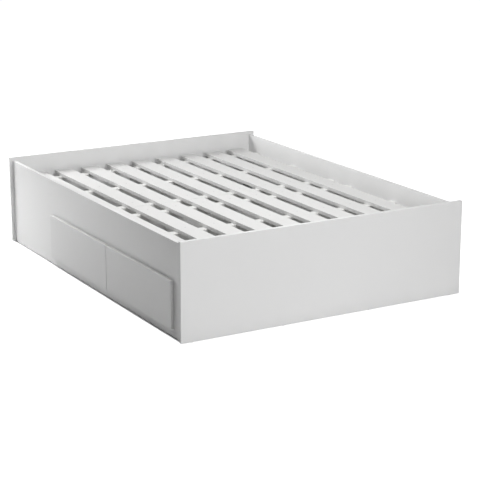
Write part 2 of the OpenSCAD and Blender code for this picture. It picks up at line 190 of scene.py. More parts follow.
class Finish:
    """A material built up from nodes around one shader"""

    def __init__(self, name, **constants):
        self.material = bpy.data.materials.new(name)
        self.material.use_nodes = True
        self.tree = self.material.node_tree
        self.shader = self.tree.nodes["Principled BSDF"]
        for socket, value in constants.items():
            self.shader.inputs[socket.replace("_", " ")].default_value = value
        self.place = self.node("ShaderNodeTexCoord", out="Object")

    def feed(self, socket, value):
        if isinstance(value, Tone):
            self.tree.links.new(value.socket, socket)
        elif hasattr(value, "__len__") and socket.type == "RGBA":
            socket.default_value = (*value, 1)
        else:
            socket.default_value = value

    def node(self, kind, settings=None, values=None, out=0):
        made = self.tree.nodes.new(kind)
        for setting, value in (settings or {}).items():
            setattr(made, setting, value)
        for socket, value in (values or {}).items():
            self.feed(made.inputs[socket], value)
        return Tone(self, made.outputs[out])

    def along(self, axis):
        return self.node("ShaderNodeSeparateXYZ", values={0: self.place}, out=axis)

    def noise(self, scale, stretch=(1, 1, 1), detail=3, roughness=0.5):
        place = self.node("ShaderNodeMapping", values={"Vector": self.place, "Scale": stretch})
        return self.node("ShaderNodeTexNoise", values={
            "Vector": place, "Scale": scale, "Detail": detail, "Roughness": roughness})

    def mixed(self, mask, first, second):
        return self.node("ShaderNodeMix", {"data_type": "RGBA"},
                         {"Factor": mask, 6: first, 7: second}, out=2)

    def worn_edges(self, edges, width=2.5 * MM):
        """1 on a worn spot within a few millimetres of the edges, which are (axis, places)"""
        near = None
        for axis, places in edges:
            along = self.along(axis)
            for place in places:
                here = (1 - (along - place).size() * (1 / width)).between(0, 1)
                near = here if near is None else near.larger(here)
        patches = self.noise(38, detail=4, roughness=0.65).between(0.47, 0.72)
        return near * patches

    def bumps(self, height, distance, strength=1):
        return self.node("ShaderNodeBump", values={
            "Height": height, "Distance": distance, "Strength": strength})

    def done(self, colour, roughness, normal, **others):
        self.feed(self.shader.inputs["Base Color"], colour)
        self.feed(self.shader.inputs["Roughness"], roughness)
        self.feed(self.shader.inputs["Normal"], normal)
        for socket, value in others.items():
            self.feed(self.shader.inputs[socket], value)
        return self.material


def shade(colour, factor):
    return tuple(min(1, c * factor) for c in colour)


def sprayed_lacquer(name, colour, edges):
    """Satin lacquer on board: faint clouds, fine orange peel, dust specks and rubbed edges"""
    f = Finish(name, IOR=1.5, Coat_Roughness=0.2)
    clouds = f.noise(1.7, detail=2).between(0.3, 0.7)
    specks = f.noise(420, detail=1).between(0.70, 0.78)
    peel = f.noise(420, detail=2)
    worn = f.worn_edges(edges)
    tone = f.mixed(clouds, shade(colour, 0.995), shade(colour, 1.003))
    tone = f.mixed(specks * 0.05, tone, shade(colour, 0.9))
    tone = f.mixed(worn * 0.3, tone, shade(colour, 0.8))
    rough = 0.36 + 0.07 * clouds + 0.18 * worn + 0.05 * specks
    return f.done(tone, rough, f.bumps(peel + 0.4 * specks, 0.01 * MM, 0.08),
                  **{"Coat Weight": 0.12 - 0.08 * worn})


def grained_paint(name, colour, grain, centre=0, pitch=1, width=None):
    """Thin white paint on planed wood. grain is the axis that the grain runs along."""
    f = Finish(name, IOR=1.48)
    stretch = [9.0, 9.0, 9.0]
    stretch[grain] = 0.6
    fine = f.noise(75, stretch, detail=5, roughness=0.62)
    broad = f.noise(9, stretch, detail=3)
    pores = f.noise(150, [s * (0.35 if i == grain else 1) for i, s in enumerate(stretch)],
                    detail=2).between(0.6, 0.75)
    across = 0 if grain == 1 else 1
    board = ((f.along(across) - centre) * (1 / pitch)).sum("ROUND")
    half = f.along(1).sum("SIGN")
    each = f.node("ShaderNodeTexWhiteNoise", {"noise_dimensions": "1D"},
                  {"W": board * 3.7 + half * 11.3})
    tone = f.mixed(broad.between(0.3, 0.7), shade(colour, 0.995), shade(colour, 1.005))
    tone = f.mixed(fine.between(0.42, 0.75) * 0.25, tone, shade(colour, 0.92))
    tone = f.mixed(pores * 0.5, tone, shade(colour, 0.78))
    tone = f.mixed(each * 0.5, tone, shade(colour, 0.96))
    rough = 0.5 + 0.1 * fine + 0.1 * pores
    if width:
        apart = (f.along(across) - centre).sum("PINGPONG", pitch / 2)
        edge = (1 - (apart - width / 2).size() * (1 / (2 * MM))).between(0, 1)
        worn = edge * f.noise(30, detail=4).between(0.48, 0.7)
        tone = f.mixed(worn * 0.45, tone, shade(colour, 0.78))
        rough = rough + 0.12 * worn
    height = fine - 1.2 * pores + 0.3 * broad
    return f.done(tone, rough, f.bumps(height, 0.06 * MM, 0.6))


def washed_wood(name, colour):
    """White-washed wood, its growth rings showing along x"""
    f = Finish(name, IOR=1.45)
    stretch = (0.06, 1, 1)
    warp = f.noise(9, stretch, detail=3)
    bands = (warp * 14 + f.along(2) * 60).sum("FRACT").between(0, 0.9)
    fibre = f.noise(210, stretch, detail=4, roughness=0.7)
    saw = f.noise(30, detail=2).between(0.4, 0.8)
    tone = f.mixed(bands * 0.5, colour, shade(colour, 0.93))
    tone = f.mixed(fibre.between(0.45, 0.8) * 0.4, tone, shade(colour, 0.85))
    tone = f.mixed(saw * 0.25, tone, shade(colour, 0.95))
    return f.done(tone, 0.6 + 0.15 * fibre,
                  f.bumps(fibre + 0.4 * bands, 0.15 * MM, 0.7))


def foil_board(name, colour, edges):
    """Melamine-faced board: pressed pore pattern, slight print mottling, chipped edges"""
    f = Finish(name, IOR=1.5)
    pores = f.noise(48, (1.2, 14, 14), detail=3).between(0.55, 0.72)
    mottle = f.noise(5, detail=4)
    worn = f.worn_edges(edges, 1.6 * MM)
    tone = f.mixed(mottle.between(0.3, 0.7), shade(colour, 0.975), colour)
    tone = f.mixed(pores * 0.35, tone, shade(colour, 0.9))
    tone = f.mixed(worn * 0.5, tone, (0.62, 0.58, 0.5))
    return f.done(tone, 0.42 + 0.12 * pores + 0.2 * worn,
                  f.bumps(1 - pores, 0.06 * MM, 0.6))


def fibre_board(name, colour):
    """Thin hardboard with a printed white face"""
    f = Finish(name, IOR=1.45)
    felt = f.noise(330, detail=4, roughness=0.7)
    flecks = f.noise(95, detail=2).between(0.62, 0.74)
    clouds = f.noise(4, detail=3)
    tone = f.mixed(clouds.between(0.3, 0.7), shade(colour, 0.96), colour)
    tone = f.mixed(flecks * 0.5, tone, shade(colour, 0.84))
    tone = f.mixed(felt.between(0.5, 0.8) * 0.3, tone, shade(colour, 0.9))
    return f.done(tone, 0.55 + 0.2 * felt, f.bumps(felt, 0.1 * MM, 0.6))


def coated_steel(name, colour):
    """Powder coat with fine texture, and rub marks along the way that the rollers run"""
    f = Finish(name, IOR=1.5)
    grit = f.noise(900, detail=2)
    rubs = f.noise(120, (0.05, 1, 1), detail=3).between(0.55, 0.7)
    chips = f.noise(160, detail=3).between(0.72, 0.76)
    tone = f.mixed(rubs * 0.4, colour, shade(colour, 0.8))
    tone = f.mixed(chips, tone, (0.35, 0.35, 0.36))
    return f.done(tone, 0.4 + 0.15 * grit - 0.12 * rubs, f.bumps(grit - chips, 0.05 * MM, 0.6),
                  Metallic=0.85 * chips)


def plated_steel(name, colour, roughness=0.34):
    """Zinc plate: cloudy spangle, fine brushing, dulled spots"""
    f = Finish(name)
    spangle = f.node("ShaderNodeTexVoronoi", {"feature": "F1"},
                     {"Vector": f.place, "Scale": 260}, out="Color")
    clouds = f.noise(70, detail=3)
    brush = f.noise(700, (1, 1, 0.08), detail=2)
    dull = f.noise(45, detail=4).between(0.55, 0.75)
    tone = f.mixed(0.22, colour, spangle)
    tone = f.mixed(clouds.between(0.3, 0.7), shade(colour, 0.85), tone)
    tone = f.mixed(dull * 0.4, tone, shade(colour, 0.62))
    return f.done(tone, roughness + 0.12 * clouds + 0.2 * dull,
                  f.bumps(brush + 0.5 * clouds, 0.03 * MM, 0.6), Metallic=1 - 0.3 * dull)


def moulded_plastic(name, colour, glow=0):
    """Moulded plastic with a fine spark-eroded texture and scuffs"""
    f = Finish(name, IOR=1.5, Subsurface_Weight=glow, Subsurface_Scale=2 * MM)
    grain = f.noise(1300, detail=2)
    flow = f.noise(40, detail=3)
    scuffs = f.noise(240, (1, 0.12, 1), detail=3).between(0.62, 0.7)
    tone = f.mixed(flow.between(0.3, 0.7), shade(colour, 0.95), shade(colour, 1.03))
    tone = f.mixed(scuffs * 0.4, tone, shade(colour, 0.8))
    return f.done(tone, 0.45 + 0.12 * flow + 0.15 * scuffs,
                  f.bumps(grain - 0.6 * scuffs, 0.04 * MM, 0.6))


# ---- Hand tools ----

SHARP, FOLD_SHARP = 35, 40      # degrees: an edge that turns more is shaded as a sharp one
OVERCUT = 0.5 * MM              # how far a drill starts above the wood
WELD = 0.005 * MM


def fresh():
    """Object mode with nothing selected"""
    if bpy.context.mode != "OBJECT":
        bpy.ops.object.mode_set(mode="OBJECT")
    bpy.ops.object.select_all(action="DESELECT")


def hold(piece):
    """The piece alone is selected and active"""
    fresh()
    piece.select_set(True)
    bpy.context.view_layer.objects.active = piece
    return piece


def settle(name):
    """Name the new piece and put its place, turn and size into its mesh"""
    piece = bpy.context.object
    piece.name = piece.data.name = name
    bpy.ops.object.transform_apply(location=True, rotation=True, scale=True)
    return piece


def block(name, lo, hi):
    """A block between two corners, given in any order"""
    fresh()
    lo, hi = (Vector(map(pick, lo, hi)) for pick in (min, max))
    bpy.ops.mesh.primitive_cube_add(size=1, location=(lo + hi) / 2, scale=hi - lo)
    return settle(name)


def bench(piece):
    """The piece on the bench: edit mode, ready for shaping"""
    hold(piece)
    bpy.ops.object.mode_set(mode="EDIT")
    bpy.ops.mesh.select_mode(type="VERT")
    return piece


def take(piece, kind, test):
    """Select the faces, edges or corners whose middle passes the test, on the bench"""
    bpy.ops.mesh.select_mode(type=kind)
    bpy.ops.mesh.select_all(action="DESELECT")
    mesh = bmesh.from_edit_mesh(piece.data)
    parts = {"VERT": mesh.verts, "EDGE": mesh.edges, "FACE": mesh.faces}[kind]
    for part in parts:
        corners = [part] if kind == "VERT" else part.verts
        middle = sum((v.co for v in corners), Vector()) / len(corners)
        if test(middle, part):
            part.select_set(True)
    bmesh.update_edit_mesh(piece.data)


def score(axis, places):
    """Cut lines right round the piece on the bench, square to an axis"""
    normal = [0, 0, 0]
    normal[axis] = 1
    for place in places:
        bpy.ops.mesh.select_all(action="SELECT")
        bpy.ops.mesh.bisect(plane_co=[place * n for n in normal], plane_no=normal)


def off_bench():
    bpy.ops.object.mode_set(mode="OBJECT")


def apply_all(piece):
    hold(piece)
    for modifier in list(piece.modifiers):
        bpy.ops.object.modifier_apply(modifier=modifier.name)
    return piece


def ease(piece, radius, steps=2, turn=50):
    """Round over the sharp edges"""
    hold(piece)
    bpy.ops.object.shade_smooth_by_angle(angle=math.radians(SHARP))
    bevel = piece.modifiers.new("Eased edges", "BEVEL")
    bevel.width, bevel.segments = radius, steps
    bevel.limit_method, bevel.angle_limit = "ANGLE", math.radians(turn)
    bevel.harden_normals = True
    return apply_all(piece)


def joined(name, pieces):
    """Several pieces made one"""
    hold(pieces[0])
    for piece in pieces[1:]:
        piece.select_set(True)
    if len(pieces) > 1:
        bpy.ops.object.join()
    return settle(name)


def worked(piece, tool, operation):
    """Cut the tool's shape out of the piece, or add it"""
    boolean = piece.modifiers.new("Tool", "BOOLEAN")
    boolean.operation, boolean.object, boolean.solver = operation, tool, "EXACT"
    apply_all(piece)
    bpy.data.objects.remove(tool)
    return piece


def cut(piece, tools):
    return worked(piece, joined("tool", tools), "DIFFERENCE")


def drill(centre, axis, radius, depth, top_radius=None, steps=16):
    """A cutter for a round or countersunk hole. It starts at centre and goes along axis."""
    fresh()
    axis = Vector(axis).normalized()
    slope = ((top_radius or radius) - radius) / depth
    bpy.ops.mesh.primitive_cone_add(
        vertices=steps, radius1=(top_radius or radius) + slope * OVERCUT, radius2=radius,
        depth=depth + OVERCUT, location=Vector(centre) + axis * (depth - OVERCUT) / 2,
        rotation=axis.to_track_quat("Z", "Y").to_euler())
    return settle("tool")


def drawn(name, corners):
    """A line from corner to corner, made by extruding one point; it stays on the bench"""
    fresh()
    bpy.ops.mesh.primitive_plane_add(size=1 * MM)
    line = bench(settle(name))
    bpy.ops.mesh.merge(type="CENTER")
    here = Vector()
    for number, corner in enumerate(corners):
        move = {"value": Vector(corner) - here}
        if number:
            bpy.ops.mesh.extrude_region_move(TRANSFORM_OT_translate=move)
        else:
            bpy.ops.transform.translate(**move)
        here = Vector(corner)
    return line


def turned(name, profile, centre=(0, 0, 0), axis=(0, 0, 1), steps=16, smooth=SHARP):
    """A profile of (radius, height) turned about an axis through centre"""
    piece = drawn(name, [(r, 0, h) for r, h in profile])
    bpy.ops.mesh.select_all(action="SELECT")
    bpy.ops.mesh.spin(steps=steps, angle=math.tau, center=(0, 0, 0), axis=(0, 0, 1))
    bpy.ops.mesh.select_all(action="SELECT")
    bpy.ops.mesh.remove_doubles(threshold=WELD)
    bpy.ops.mesh.normals_make_consistent(inside=False)
    off_bench()
    piece.rotation_euler = Vector(axis).to_track_quat("Z", "Y").to_euler()
    piece.location = centre
    hold(piece)
    settle(name)
    bpy.ops.object.shade_smooth_by_angle(angle=math.radians(smooth))
    return piece


def rounded_line(corners, radius, steps=3):
    """The corners of a bent line, with an arc in place of each inner corner"""
    points = [Vector(corners[0])]
    for before, corner, after in zip(corners, corners[1:], corners[2:]):
        corner = Vector(corner)
        back = (Vector(before) - corner).normalized()
        on = (Vector(after) - corner).normalized()
        reach = radius / math.tan(back.angle(on) / 2)
        a, b = corner + back * reach, corner + on * reach
        for step in range(steps + 1):
            t = step / steps
            points.append((1 - t) ** 2 * a + 2 * t * (1 - t) * corner + t ** 2 * b)
    return points + [Vector(corners[-1])]


def folded(name, corners, run, thickness, radius=1 * MM):
    """Sheet metal: a bent line drawn out along run and given its thickness"""
    piece = drawn(name, rounded_line(corners, radius))
    bpy.ops.mesh.select_all(action="SELECT")
    bpy.ops.mesh.extrude_region_move(TRANSFORM_OT_translate={"value": run})
    off_bench()
    hold(piece)
    sheet = piece.modifiers.new("Sheet", "SOLIDIFY")
    sheet.thickness, sheet.offset, sheet.use_even_offset = thickness, 0, True
    apply_all(piece)
    bench(piece)
    bpy.ops.mesh.select_all(action="SELECT")
    bpy.ops.mesh.normals_make_consistent(inside=False)
    off_bench()
    bpy.ops.object.shade_smooth_by_angle(angle=math.radians(FOLD_SHARP))
    return piece


def twin(piece, name, matrix):
    """A copy with its own mesh, moved, turned or mirrored"""
    other = piece.copy()
    other.data = piece.data.copy()
    other.name = other.data.name = name
    bpy.context.scene.collection.objects.link(other)
    other.data.transform(matrix)
    if matrix.determinant() < 0:
        other.data.flip_normals()
    return other


def facing(centre, axis):
    """The matrix that stands a piece made along +Z at centre, pointing along axis"""
    turn = Vector(axis).to_track_quat("Z", "Y").to_matrix().to_4x4()
    return Matrix.Translation(centre) @ turn


def repeated(name, pattern, places):
    """Copies of the pattern as one piece. places are (centre, axis)."""
    copies = [twin(pattern, name, facing(centre, axis)) for centre, axis in places]
    return joined(name, copies)


def fit(piece, body, slot, *nodes):
    """The piece rides on its body in its finish and stands for its frame parts"""
    piece.data.materials.clear()
    piece.data.materials.append(FINISHES[slot])
    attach(piece, body)
    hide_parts(*nodes)


# ---- Sizes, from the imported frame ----

END_LO, END_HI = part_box("head_panel")
SIDE_LO, SIDE_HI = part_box("right_side_panel")
LEDGER_LO, LEDGER_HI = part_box("right_ledger")
BEAM_LO, BEAM_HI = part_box("centre_beam")
CROSS_LO, CROSS_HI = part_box("cross_beams")
SLATS_LO, SLATS_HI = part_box("head_slats")
BATTENS_LO, BATTENS_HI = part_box("head_battens")
PARTITIONS = [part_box(end + "_partition") for end in ("foot", "middle", "head")]
PART_T = PARTITIONS[0][1].y - PARTITIONS[0][0].y
FRONT_LAP = 14 * MM
GROOVE_D = 6 * MM
SIDE_IN, SIDE_OUT, END_IN = SIDE_LO.x, SIDE_HI.x, END_LO.y
SLAT_N, SLAT_W = 9, 98 * MM
SLAT_PITCH = (SLATS_HI.x - SLATS_LO.x - SLAT_W) / (SLAT_N - 1)
SLAT_XS = [SLATS_LO.x + SLAT_W / 2 + i * SLAT_PITCH for i in range(SLAT_N)]
BATTEN_W = 45 * MM
BATTEN_YS = [BATTENS_LO.y + BATTEN_W / 2, (BATTENS_LO.y + BATTENS_HI.y) / 2,
             BATTENS_HI.y - BATTEN_W / 2]
BEAM_YS = BATTEN_YS[:2]
BOX_T = 15 * MM
RUNNER_SPACE = 12.5 * MM
PANEL_EASE, EDGE_EASE, BOX_EASE = 1.5 * MM, 1.2 * MM, 0.6 * MM
NOTCH_PLAY = 0.5 * MM
LEDGER_SCREWS, LEDGER_SCREW_IN, LEDGER_SCREW_UP = 6, 100 * MM, 10 * MM

HANGER_T, HANGER_EAR, HANGER_REACH, HANGER_PLAY = 2 * MM, 25 * MM, 35 * MM, 0.3 * MM
HANGER_SCREW_UP = 15 * MM
ANGLE_T, ANGLE_LEG, ANGLE_BEND = 3 * MM, 40 * MM, 4 * MM
ANGLE_SCREW_IN, ANGLE_SCREW_UP = 25 * MM, 30 * MM
GLIDE_END_IN, GLIDE_SIDE_IN, GLIDE_PART_IN = 60 * MM, 120 * MM, 60 * MM

STUD_R, STUD_PITCH, STUD_TOP, THREAD_D = 4 * MM, 1.25 * MM, 66 * MM, 0.5 * MM
PAD_T, NUT_R, NUT_T = 6 * MM, 7.4 * MM, 4 * MM
LEG_BORE_R, LEG_BORE_D = 4.1 * MM, 41.5 * MM

STEEL_T = 1.2 * MM
TRACK_LIP, TRACK_FLANGE, RUNNER_LIP = 6 * MM, 10.8 * MM, 3 * MM
TRACK_HOLES, TRACK_HOLE_R = (0.08, 0.3, 0.52, 0.74), 2.4 * MM
RUNNER_HOLES, RUNNER_HOLE_R = (0.12, 0.5, 0.9), 2.2 * MM
ROLLER_R, ROLLER_W, PIN_R = 11 * MM, 8 * MM, 3 * MM
ROLLER_S = 2.2 * MM
ROLLER_DISH, ROLLER_ROUND = 1.1 * MM, 0.8 * MM
POCKETS, POCKET_R, POCKET_OUT = 6, 1.1 * MM, 6.7 * MM
PIN_IN, PIN_L = 14 * MM, 9.7 * MM

HEAD_R, HEAD_T, SHANK_R, SCREW_L = 4 * MM, 2.2 * MM, 2 * MM, 35 * MM
HOLE_PLAY = 0.15 * MM
CAM_R, CAM_T, CAM_BACK = 7.5 * MM, 12 * MM, 34 * MM
CAM_UP, BOX_SCREW_UP, BELOW_TOP = 40 * MM, 30 * MM, 30 * MM
PULL_HALF, PULL_DEEP, PULL_HIGH, PULL_ROUND = 160 * MM, 9 * MM, 14 * MM, 6 * MM
PULL_CLEAR = 20 * MM

FRONT_EDGES = [
    (1, [corner.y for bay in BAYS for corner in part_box(bay + "_right_front")]),
    (2, [corner.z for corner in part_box("foot_right_front")]),
]
BOX_EDGES = [(2, [corner.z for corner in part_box("foot_right_sides")])]

WHITE = (0.82, 0.82, 0.818)
FINISHES = {
    "panel_lacquer": sprayed_lacquer(
        "panel_lacquer", WHITE, [(2, (END_HI.z, SIDE_HI.z)), (0, (-END_HI.x, END_HI.x))]),
    "front_lacquer": sprayed_lacquer("front_lacquer", shade(WHITE, 0.95), FRONT_EDGES),
    "box_melamine": foil_board("box_melamine", (0.89, 0.89, 0.885), BOX_EDGES),
    "bottom_board": fibre_board("bottom_board", (0.88, 0.88, 0.87)),
    "slat_wood": grained_paint("slat_wood", (0.79, 0.79, 0.78), 1, SLAT_XS[0], SLAT_PITCH,
                               SLAT_W),
    "batten_wood": grained_paint("batten_wood", (0.84, 0.84, 0.825), 0),
    "beam_wood": washed_wood("beam_wood", (0.86, 0.86, 0.845)),
    "runner_steel": coated_steel("runner_steel", (0.80, 0.79, 0.75)),
    "roller_nylon": moulded_plastic("roller_nylon", (0.82, 0.82, 0.79), glow=0.15),
    "bracket_steel": plated_steel("bracket_steel", (0.60, 0.61, 0.62)),
    "screw_steel": plated_steel("screw_steel", (0.58, 0.59, 0.60), 0.28),
    "glide_plastic": moulded_plastic("glide_plastic", (0.30, 0.30, 0.31)),
}


# ---- Fasteners, each made once ----

def crossed(piece, top, reach, width, depth):
    """Cut a cross recess into the top of a screw or cam"""
    arms = []
    for across in (0, 1):
        arm = block("tool", (-reach, -width / 2, top - depth), (reach, width / 2, top + MM))
        bench(arm)
        take(arm, "FACE", lambda middle, face: middle.z < top - depth / 2 and face.normal.z < -0.5)
        bpy.ops.transform.resize(value=(0.45, 0.8, 1))
        off_bench()
        if across:
            arm.data.transform(Matrix.Rotation(math.pi / 2, 4, "Z"))
        arms.append(arm)
    cross = worked(arms[0], arms[1], "UNION")
    return worked(piece, cross, "DIFFERENCE")


def make_wood_screw():
    """Countersunk screw along -Z from its head's top"""
    screw = turned("wood_screw", [
        (0, -SCREW_L), (1.2 * MM, -SCREW_L + 3 * MM), (SHANK_R, -SCREW_L + 6 * MM),
        (SHANK_R, -HEAD_T), (HEAD_R - 0.1 * MM, -0.35 * MM), (HEAD_R - 0.1 * MM, -0.15 * MM),
        (0, -0.15 * MM)], steps=14)
    return crossed(screw, -0.15 * MM, 2.3 * MM, 0.9 * MM, 1.3 * MM)


def make_pan_screw():
    """Pan-head screw along -Z from under its head"""
    screw = turned("pan_screw", [
        (0, -14 * MM), (1.6 * MM, -12.5 * MM), (2.4 * MM, -11 * MM), (2.4 * MM, 0),
        (4.5 * MM, 0), (4.5 * MM, 1.1 * MM), (4.0 * MM, 2.1 * MM), (3.0 * MM, 2.75 * MM),
        (1.5 * MM, 3 * MM), (0, 3 * MM)], steps=16)
    return crossed(screw, 3 * MM, 2.5 * MM, 0.9 * MM, 1.5 * MM)


def make_cam():
    """Cam lock, its face towards +Z at the origin"""
    cam = turned("cam_lock", [
        (0, -CAM_T), (CAM_R - 0.5 * MM, -CAM_T), (CAM_R, -CAM_T + 0.5 * MM),
        (CAM_R, -0.5 * MM), (CAM_R - 0.4 * MM, -0.1 * MM), (CAM_R - 1.2 * MM, -0.1 * MM),
        (CAM_R - 1.5 * MM, -0.6 * MM), (0, -0.6 * MM)], steps=24)
    return crossed(cam, -0.6 * MM, 4.2 * MM, 1.3 * MM, 2.2 * MM)


def make_cam_bolt():
    """Bolt from the cam into the front, along +Z from the cam's middle"""
    return turned("cam_bolt", [
        (0, 0), (2.9 * MM, 0), (2.9 * MM, 3 * MM), (1.6 * MM, 4 * MM), (1.6 * MM, 7 * MM),
        (2.2 * MM, 8 * MM), (2.2 * MM, 31 * MM), (2.9 * MM, 32 * MM), (2.9 * MM, 42 * MM),
        (1.8 * MM, 44 * MM), (0, 44 * MM)], steps=12)


# ---- Panels and partitions ----

def make_end_panels():
    for end, turn in ENDS:
        panel = block(end + "_end_board", (END_LO.x, turn * END_LO.y, END_LO.z),
                      (END_HI.x, turn * END_HI.y, END_HI.z))
        ease(panel, PANEL_EASE, 3)
        fit(panel, "frame", "panel_lacquer", end + "_panel")


def window_of(bay):
    """The lowest and highest corner of a drawer's window in the side panel"""
    first = BAYS.index(bay)
    front_lo, front_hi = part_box(bay + "_right_front")
    return ((PARTITIONS[first][1].y, front_lo.z + FRONT_LAP),
            (PARTITIONS[first + 1][0].y, front_hi.z - FRONT_LAP))


def make_side_panels():
    windows = [window_of(bay) for bay in BAYS]
    for hand, side in SIDES.items():
        panel = bench(block(hand + "_side_board", (side * SIDE_IN, -END_IN, SIDE_LO.z),
                            (side * SIDE_OUT, END_IN, SIDE_HI.z)))
        score(1, [corner[0] for window in windows for corner in window])
        score(2, [windows[0][0][1], windows[0][1][1]])
        for (y0, z0), (y1, z1) in windows:
            take(panel, "FACE", lambda middle, face: abs(face.normal.x) > 0.5
                 and y0 < middle.y < y1 and z0 < middle.z < z1)
            bpy.ops.mesh.bridge_edge_loops()
        bpy.ops.mesh.select_all(action="SELECT")
        bpy.ops.mesh.dissolve_limited(angle_limit=math.radians(1))
        off_bench()
        ease(panel, EDGE_EASE)
        fit(panel, "frame", "panel_lacquer", hand + "_side_panel")


def make_partitions():
    for end, (lo, hi) in zip(("foot", "middle", "head"), PARTITIONS):
        partition = ease(block(end + "_partition_board", lo, hi), 0.8 * MM)
        fit(partition, "frame", "box_melamine", end + "_partition")


# ---- Deck supports ----

def make_ledgers():
    """Ledgers, notched from above for the cross beams"""
    notches = [(turn * y - BATTEN_W / 2 - NOTCH_PLAY, turn * y + BATTEN_W / 2 + NOTCH_PLAY)
               for turn in (-1, 1) for y in BEAM_YS]
    for hand, side in SIDES.items():
        rail = bench(block(hand + "_ledger_rail", (side * LEDGER_LO.x, -END_IN, LEDGER_LO.z),
                           (side * LEDGER_HI.x, END_IN, CROSS_LO.z)))
        score(1, [y for notch in notches for y in notch])
        take(rail, "FACE", lambda middle, face: face.normal.z > 0.5
             and not any(a < middle.y < b for a, b in notches))
        bpy.ops.mesh.extrude_region_move(
            TRANSFORM_OT_translate={"value": (0, 0, LEDGER_HI.z - CROSS_LO.z)})
        bpy.ops.mesh.select_all(action="SELECT")
        bpy.ops.mesh.dissolve_limited(angle_limit=math.radians(1))
        off_bench()
        cut(rail, [drill((side * LEDGER_LO.x, y, z), (side, 0, 0), SHANK_R, HEAD_T, HEAD_R)
                   for y, z in ledger_screw_places()])
        ease(rail, 1 * MM, 2, 60)
        fit(rail, "frame", "beam_wood", hand + "_ledger")


def ledger_screw_places():
    reach = END_IN - LEDGER_SCREW_IN
    return [(-reach + i * 2 * reach / (LEDGER_SCREWS - 1), LEDGER_LO.z + LEDGER_SCREW_UP)
            for i in range(LEDGER_SCREWS)]


def make_beams():
    centre = ease(block("centre_beam_bar", BEAM_LO, BEAM_HI), PANEL_EASE, 3)
    fit(centre, "frame", "beam_wood", "centre_beam")
    for number, y in enumerate([turn * y for turn in (-1, 1) for y in BEAM_YS]):
        bar = block(f"cross_beam_{number + 1}", (CROSS_LO.x, y - BATTEN_W / 2, CROSS_LO.z),
                    (CROSS_HI.x, y + BATTEN_W / 2, CROSS_HI.z))
        fit(ease(bar, EDGE_EASE), "frame", "beam_wood", "cross_beams")
    for end, turn in ENDS:
        y, half = turn * BATTEN_YS[2], BATTEN_W / 2
        packer = block(end + "_packer_block", (-half, y - half, BEAM_HI.z),
                       (half, y + half, BATTENS_LO.z))
        fit(ease(packer, EDGE_EASE), "frame", "beam_wood", "beam_packers")


def make_leg():
    lo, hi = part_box("centre_leg")
    middle = ((lo.x + hi.x) / 2, (lo.y + hi.y) / 2, 0)
    post = block("centre_leg_post", lo, hi)
    cut(post, [drill((middle[0], middle[1], lo.z), (0, 0, 1), LEG_BORE_R, LEG_BORE_D)])
    fit(ease(post, PANEL_EASE, 3), "frame", "beam_wood", "centre_leg")
    profile = [(0, 0), (20.5 * MM, 0), (22 * MM, 1.5 * MM), (22 * MM, 3.6 * MM),
               (20.8 * MM, 5 * MM), (10 * MM, PAD_T), (STUD_R - THREAD_D, PAD_T)]
    height = PAD_T
    while height < STUD_TOP - 2 * MM:
        profile += [(STUD_R - THREAD_D, height), (STUD_R, height + STUD_PITCH / 2)]
        height += STUD_PITCH
    profile += [(STUD_R - 0.8 * MM, STUD_TOP), (0, STUD_TOP)]
    foot = turned("levelling_foot_pad", profile, middle, steps=28, smooth=50)
    nut = turned("jam_nut", [(STUD_R, 0), (NUT_R, 0), (NUT_R, NUT_T), (STUD_R, NUT_T),
                             (STUD_R, 0)], (middle[0], middle[1], lo.z - NUT_T - 0.2 * MM),
                 steps=6, smooth=20)
    ease(nut, 0.4 * MM)
    fit(foot, "frame", "glide_plastic", "levelling_foot")
    fit(nut, "frame", "screw_steel", "levelling_foot")


# ---- Metalwork ----

def make_hangers():
    """Stirrups for the centre beam's ends. Gives the places of their screws."""
    lo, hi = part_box("beam_hangers")
    low, high = lo.z + HANGER_T / 2, hi.z
    inner = BATTEN_W / 2 + HANGER_PLAY + HANGER_T / 2
    outer = inner + HANGER_T / 2
    for end, turn in ENDS:
        wall, lip = turn * END_IN, turn * (END_IN - HANGER_REACH)
        cradle = folded(end + "_beam_stirrup", [
            (-inner, lip, high), (-inner, lip, low), (inner, lip, low), (inner, lip, high)],
            (0, wall - lip, 0), HANGER_T, 2 * MM)
        for side in (-1, 1):
            flap = block("flap", (side * (inner - HANGER_T / 4), wall, lo.z),
                         (side * (outer + HANGER_EAR), wall - turn * HANGER_T, high))
            worked(cradle, flap, "UNION")
        ease(cradle, 0.4 * MM, 2, 60)
        fit(cradle, "frame", "bracket_steel", "beam_hangers")
    return [((side * (outer + HANGER_EAR / 2), turn * (END_IN - HANGER_T),
              BEAM_LO.z + HANGER_SCREW_UP), (0, -turn, 0)) for side in (-1, 1) for turn in (-1, 1)]


def make_corner_brackets():
    """Steel angles in the frame's corners. Gives the places of their screws."""
    lo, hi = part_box("corner_brackets")
    screws = []
    for hand, side in SIDES.items():
        for end, turn in ENDS:
            x, y = side * (SIDE_IN - ANGLE_T / 2), turn * (END_IN - ANGLE_T / 2)
            angle = folded(f"{hand}_{end}_corner_angle", [
                (side * (SIDE_IN - ANGLE_LEG), y, lo.z), (x, y, lo.z),
                (x, turn * (END_IN - ANGLE_LEG), lo.z)], (0, 0, hi.z - lo.z), ANGLE_T, ANGLE_BEND)
            ease(angle, 0.7 * MM, 2, 60)
            fit(angle, "frame", "bracket_steel", "corner_brackets")
            near_x, near_y = side * (SIDE_IN - ANGLE_T), turn * (END_IN - ANGLE_T)
            for z in (lo.z + ANGLE_SCREW_UP, hi.z - ANGLE_SCREW_UP):
                screws += [((near_x, turn * (END_IN - ANGLE_SCREW_IN), z), (-side, 0, 0)),
                           ((side * (SIDE_IN - ANGLE_SCREW_IN), near_y, z), (0, -turn, 0))]
    return screws


